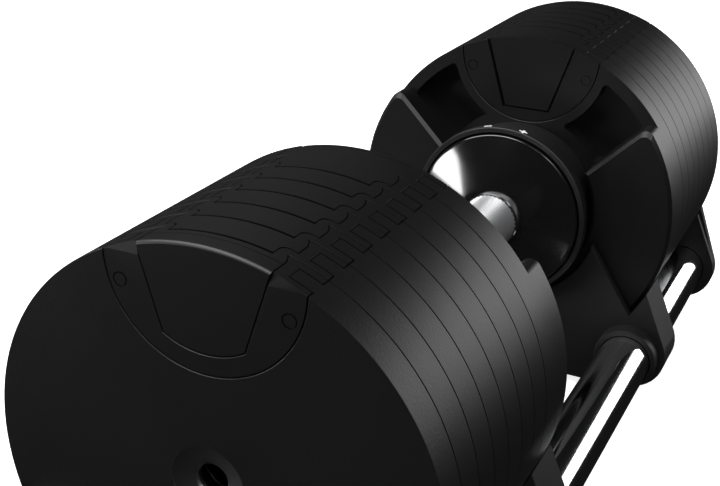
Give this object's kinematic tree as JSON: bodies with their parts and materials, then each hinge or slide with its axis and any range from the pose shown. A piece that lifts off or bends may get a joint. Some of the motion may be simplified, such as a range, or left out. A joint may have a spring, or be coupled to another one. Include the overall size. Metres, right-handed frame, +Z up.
{
  "type": "adjustable_dumbbell",
  "caption": "Adjustable dumbbell with black interlocking round plates on a turning knurled chrome grip, resting in a black cradle with chrome side tubes.",
  "frame": {"origin": "On the ground under the middle of the grip, the bottom centre of the cradle and dumbbell together", "axes": "+X along the grip, +Z up, +Y across it; the two ends are alike and either can face -X"},
  "size_m": [0.4326, 0.1868, 0.1817],
  "materials": {
    "plate_steel": "satin black powder coat with a fine sparkle",
    "insert_moulding": "smooth satin black moulding",
    "head_casting": "satin black coat on a casting",
    "gloss_black": "polished black",
    "base_plastic": "satin black glass-filled plastic",
    "chrome": "polished chrome plate",
    "knurled_steel": "diamond knurl, chromed",
    "bright_steel": "turned bright steel",
    "bronze": "sintered bronze",
    "foot_rubber": "matte black rubber"
  },
  "bodies": {
    "cradle": {"saddle_right": "base_plastic", "foot_front_right": "foot_rubber", "foot_back_right": "foot_rubber", "saddle_left": "base_plastic", "foot_front_left": "foot_rubber", "foot_back_left": "foot_rubber", "cradle_tube_front": "chrome", "cradle_tube_back": "chrome"},
    "plate_7_right": {"plate_7_steel_right": "plate_steel", "plate_7_insert_right": "insert_moulding", "end_cover_right": "insert_moulding"},
    "plate_6_right": {"plate_6_steel_right": "plate_steel", "plate_6_insert_right": "insert_moulding"},
    "plate_5_right": {"plate_5_steel_right": "plate_steel", "plate_5_insert_right": "insert_moulding"},
    "plate_4_right": {"plate_4_steel_right": "plate_steel", "plate_4_insert_right": "insert_moulding"},
    "plate_3_right": {"plate_3_steel_right": "plate_steel", "plate_3_insert_right": "insert_moulding"},
    "plate_2_right": {"plate_2_steel_right": "plate_steel", "plate_2_insert_right": "insert_moulding"},
    "plate_1_right": {"plate_1_steel_right": "plate_steel", "plate_1_insert_right": "insert_moulding"},
    "plate_7_left": {"plate_7_steel_left": "plate_steel", "plate_7_insert_left": "insert_moulding", "end_cover_left": "insert_moulding"},
    "plate_6_left": {"plate_6_steel_left": "plate_steel", "plate_6_insert_left": "insert_moulding"},
    "plate_5_left": {"plate_5_steel_left": "plate_steel", "plate_5_insert_left": "insert_moulding"},
    "plate_4_left": {"plate_4_steel_left": "plate_steel", "plate_4_insert_left": "insert_moulding"},
    "plate_3_left": {"plate_3_steel_left": "plate_steel", "plate_3_insert_left": "insert_moulding"},
    "plate_2_left": {"plate_2_steel_left": "plate_steel", "plate_2_insert_left": "insert_moulding"},
    "plate_1_left": {"plate_1_steel_left": "plate_steel", "plate_1_insert_left": "insert_moulding"},
    "handle_frame": {"inner_head_right": "head_casting", "head_insert_right": "insert_moulding", "head_cover_right": "insert_moulding", "hub_housing_right": "base_plastic", "shaft_bushing_right": "bronze", "inner_head_left": "head_casting", "head_insert_left": "insert_moulding", "head_cover_left": "insert_moulding", "hub_housing_left": "base_plastic", "shaft_bushing_left": "bronze", "detent_ball": "bright_steel", "detent_spring": "bright_steel"},
    "turning_handle": {"grip": "knurled_steel", "cam_tube": "bright_steel", "bell_right": "gloss_black", "bell_left": "gloss_black"},
    "selector_right": {"selector_shaft_right": "bright_steel", "follower_pin_right": "bright_steel"},
    "lock_right": {"lock_slider_right": "gloss_black"},
    "selector_left": {"selector_shaft_left": "bright_steel", "follower_pin_left": "bright_steel"},
    "lock_left": {"lock_slider_left": "gloss_black"}
  },
  "joints": [
    {"name": "lift_with_7_right", "type": "slide", "parent": "cradle", "child": "plate_7_right", "axis": [0, 0, 1], "range_m": [0, 0.12]},
    {"name": "lift_with_6_right", "type": "slide", "parent": "plate_7_right", "child": "plate_6_right", "axis": [0, 0, 1], "range_m": [0, 0.12]},
    {"name": "lift_with_5_right", "type": "slide", "parent": "plate_6_right", "child": "plate_5_right", "axis": [0, 0, 1], "range_m": [0, 0.12]},
    {"name": "lift_with_4_right", "type": "slide", "parent": "plate_5_right", "child": "plate_4_right", "axis": [0, 0, 1], "range_m": [0, 0.12]},
    {"name": "lift_with_3_right", "type": "slide", "parent": "plate_4_right", "child": "plate_3_right", "axis": [0, 0, 1], "range_m": [0, 0.12]},
    {"name": "lift_with_2_right", "type": "slide", "parent": "plate_3_right", "child": "plate_2_right", "axis": [0, 0, 1], "range_m": [0, 0.12]},
    {"name": "lift_with_1_right", "type": "slide", "parent": "plate_2_right", "child": "plate_1_right", "axis": [0, 0, 1], "range_m": [0, 0.12]},
    {"name": "lift_with_7_left", "type": "slide", "parent": "cradle", "child": "plate_7_left", "axis": [0, 0, 1], "range_m": [0, 0.12]},
    {"name": "lift_with_6_left", "type": "slide", "parent": "plate_7_left", "child": "plate_6_left", "axis": [0, 0, 1], "range_m": [0, 0.12]},
    {"name": "lift_with_5_left", "type": "slide", "parent": "plate_6_left", "child": "plate_5_left", "axis": [0, 0, 1], "range_m": [0, 0.12]},
    {"name": "lift_with_4_left", "type": "slide", "parent": "plate_5_left", "child": "plate_4_left", "axis": [0, 0, 1], "range_m": [0, 0.12]},
    {"name": "lift_with_3_left", "type": "slide", "parent": "plate_4_left", "child": "plate_3_left", "axis": [0, 0, 1], "range_m": [0, 0.12]},
    {"name": "lift_with_2_left", "type": "slide", "parent": "plate_3_left", "child": "plate_2_left", "axis": [0, 0, 1], "range_m": [0, 0.12]},
    {"name": "lift_with_1_left", "type": "slide", "parent": "plate_2_left", "child": "plate_1_left", "axis": [0, 0, 1], "range_m": [0, 0.12]},
    {"name": "lift_with_0", "type": "slide", "parent": "plate_1_right", "child": "handle_frame", "axis": [0, 0, 1], "range_m": [0, 0.12]},
    {"name": "turn_handle", "type": "hinge", "parent": "handle_frame", "child": "turning_handle", "pos_m": [0, 0, 0.096], "axis": [1, 0, 0], "range_deg": [0, 336]},
    {"name": "shaft_right", "type": "slide", "parent": "handle_frame", "child": "selector_right", "axis": [1, 0, 0], "range_m": [0, 0.0888]},
    {"name": "lock_right", "type": "slide", "parent": "handle_frame", "child": "lock_right", "axis": [0, 0, -1], "range_m": [0, 0.004]},
    {"name": "shaft_left", "type": "slide", "parent": "handle_frame", "child": "selector_left", "axis": [-1, 0, 0], "range_m": [0, 0.0888]},
    {"name": "lock_left", "type": "slide", "parent": "handle_frame", "child": "lock_left", "axis": [0, 0, -1], "range_m": [0, 0.004]}
  ],
  "couplings": [
    {"joint": "lift_with_7_left", "follows": "lift_with_7_right", "ratio": 1},
    {"joint": "lift_with_6_left", "follows": "lift_with_6_right", "ratio": 1},
    {"joint": "lift_with_5_left", "follows": "lift_with_5_right", "ratio": 1},
    {"joint": "lift_with_4_left", "follows": "lift_with_4_right", "ratio": 1},
    {"joint": "lift_with_3_left", "follows": "lift_with_3_right", "ratio": 1},
    {"joint": "lift_with_2_left", "follows": "lift_with_2_right", "ratio": 1},
    {"joint": "lift_with_1_left", "follows": "lift_with_1_right", "ratio": 1},
    {"joint": "shaft_right", "follows": "turn_handle", "m_per_rad": 0.01514},
    {"joint": "lock_right", "follows": "lift_with_0", "ratio": 0.0333},
    {"joint": "shaft_left", "follows": "turn_handle", "m_per_rad": 0.01514},
    {"joint": "lock_left", "follows": "lift_with_0", "ratio": 0.0333}
  ]
}
